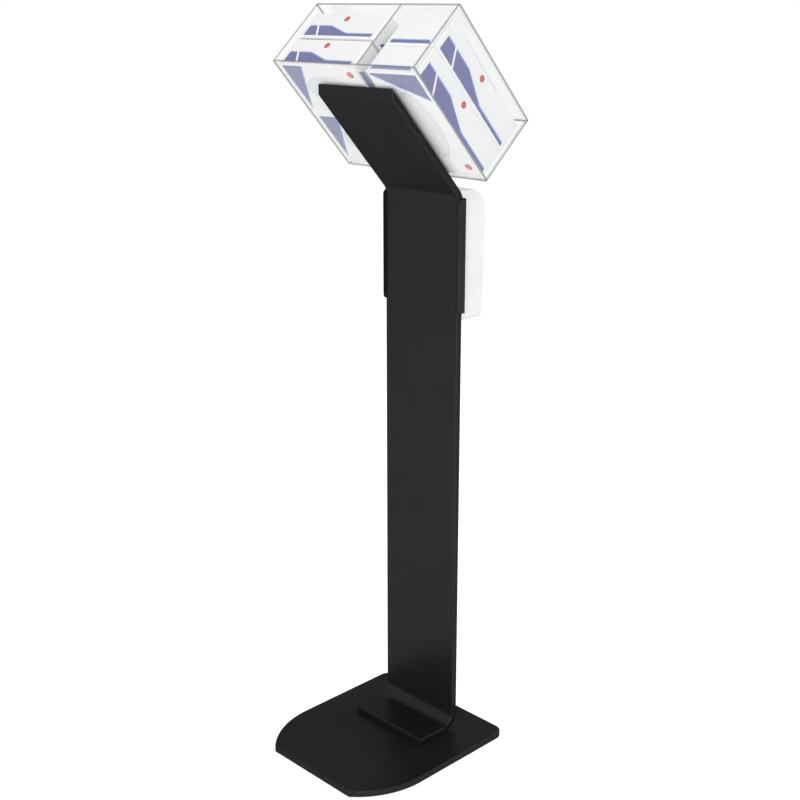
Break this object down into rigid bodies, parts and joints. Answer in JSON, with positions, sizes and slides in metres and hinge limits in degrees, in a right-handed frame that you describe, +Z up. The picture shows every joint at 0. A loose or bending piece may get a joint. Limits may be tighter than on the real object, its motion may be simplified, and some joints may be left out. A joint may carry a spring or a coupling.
{
  "type": "hand hygiene stand",
  "caption": "Black bent-plate floor stand with a tilted clear carton holder and a white touch-free sanitiser dispenser with a hinged, lockable cover.",
  "frame": {"origin": "on the floor under the middle of the overall footprint", "axes": "+Z up, +X to the stand's left seen from behind (the wide bay's side), -Y towards the user and the dispenser"},
  "size_m": [0.3376, 0.383, 1.3622],
  "materials": {
    "black_coat": "satin powder coat",
    "pad_rubber": "matt",
    "zinc_steel": "zinc plated",
    "black_steel": "black oxide",
    "lock_chrome": "polished",
    "clear_sheet": "polished clear acrylic",
    "white_shell": "fine gloss",
    "grey_moulding": "moulded",
    "dark_moulding": "moulded",
    "smoke_window": "tinted clear",
    "bottle_plastic": "translucent, filled",
    "silicone": "translucent silicone",
    "board_green": "solder mask",
    "cell_sleeve": "printed sleeve",
    "carton_card": "coated card, filled"
  },
  "bodies": {
    "stand": {"base_plate": "black_coat", "base_pads": "pad_rubber", "foot_screws": "black_steel", "post": "black_coat", "dispenser_bracket": "black_coat", "bracket_screws": "black_steel", "holder_back_panel": "clear_sheet", "holder_screws": "zinc_steel", "holder_front_panel": "clear_sheet", "holder_left_wall": "clear_sheet", "holder_right_wall": "clear_sheet", "holder_divider": "clear_sheet", "holder_floor": "clear_sheet", "dispenser_back_plate": "white_shell", "back_plate_screws": "zinc_steel", "cover_hinge_pins": "zinc_steel", "drive_chassis": "grey_moulding", "sensor_lens": "smoke_window", "control_board": "board_green", "nozzle": "dark_moulding", "refill_bottle": "bottle_plastic", "bottle_cap": "dark_moulding", "pump_tube": "silicone", "pump_body": "dark_moulding", "pump_motor": "zinc_steel", "battery_case": "dark_moulding", "battery_lid": "dark_moulding", "battery_cells": "cell_sleeve", "power_switch": "dark_moulding"},
    "cover": {"dispenser_cover": "white_shell", "level_window": "smoke_window"},
    "lock": {"cover_lock": "lock_chrome"},
    "rotor": {"pump_rotor": "zinc_steel", "pump_rollers": "white_shell"},
    "switch_knob": {"power_switch_knob": "white_shell"},
    "wide_carton_rear_lower": {"wide_carton_rear_lower": "carton_card"},
    "wide_carton_rear_upper": {"wide_carton_rear_upper": "carton_card"},
    "wide_carton_front_lower": {"wide_carton_front_lower": "carton_card"},
    "wide_carton_front_upper": {"wide_carton_front_upper": "carton_card"},
    "tall_carton_rear": {"tall_carton_rear": "carton_card"},
    "tall_carton_front": {"tall_carton_front": "carton_card"}
  },
  "joints": [
    {"name": "cover_hinge", "type": "hinge", "parent": "stand", "child": "cover", "pos_m": [0, -0.1195, 0.828], "axis": [1, 0, 0], "range_deg": [0, 80]},
    {"name": "lock_turn", "type": "hinge", "parent": "cover", "child": "lock", "pos_m": [0, -0.134, 1.043], "axis": [0, 0, 1], "range_deg": [0, 90]},
    {"name": "pump_spin", "type": "hinge", "parent": "stand", "child": "rotor", "pos_m": [-0.016, -0.1485, 0.8705], "axis": [0, -1, 0], "continuous": true},
    {"name": "switch_slide", "type": "slide", "parent": "stand", "child": "switch_knob", "axis": [1, 0, 0], "range_m": [0, 0.004]},
    {"name": "wide_rear_lower_lift", "type": "slide", "parent": "stand", "child": "wide_carton_rear_lower", "axis": [0, 0.6743, 0.7385], "range_m": [0, 0.26]},
    {"name": "wide_rear_upper_lift", "type": "slide", "parent": "wide_carton_rear_lower", "child": "wide_carton_rear_upper", "axis": [0, 0.6743, 0.7385], "range_m": [0, 0.14]},
    {"name": "tall_rear_lift", "type": "slide", "parent": "stand", "child": "tall_carton_rear", "axis": [0, 0.6743, 0.7385], "range_m": [0, 0.26]},
    {"name": "wide_front_lower_lift", "type": "slide", "parent": "stand", "child": "wide_carton_front_lower", "axis": [0, 0.6743, 0.7385], "range_m": [0, 0.26]},
    {"name": "wide_front_upper_lift", "type": "slide", "parent": "wide_carton_front_lower", "child": "wide_carton_front_upper", "axis": [0, 0.6743, 0.7385], "range_m": [0, 0.14]},
    {"name": "tall_front_lift", "type": "slide", "parent": "stand", "child": "tall_carton_front", "axis": [0, 0.6743, 0.7385], "range_m": [0, 0.26]}
  ]
}
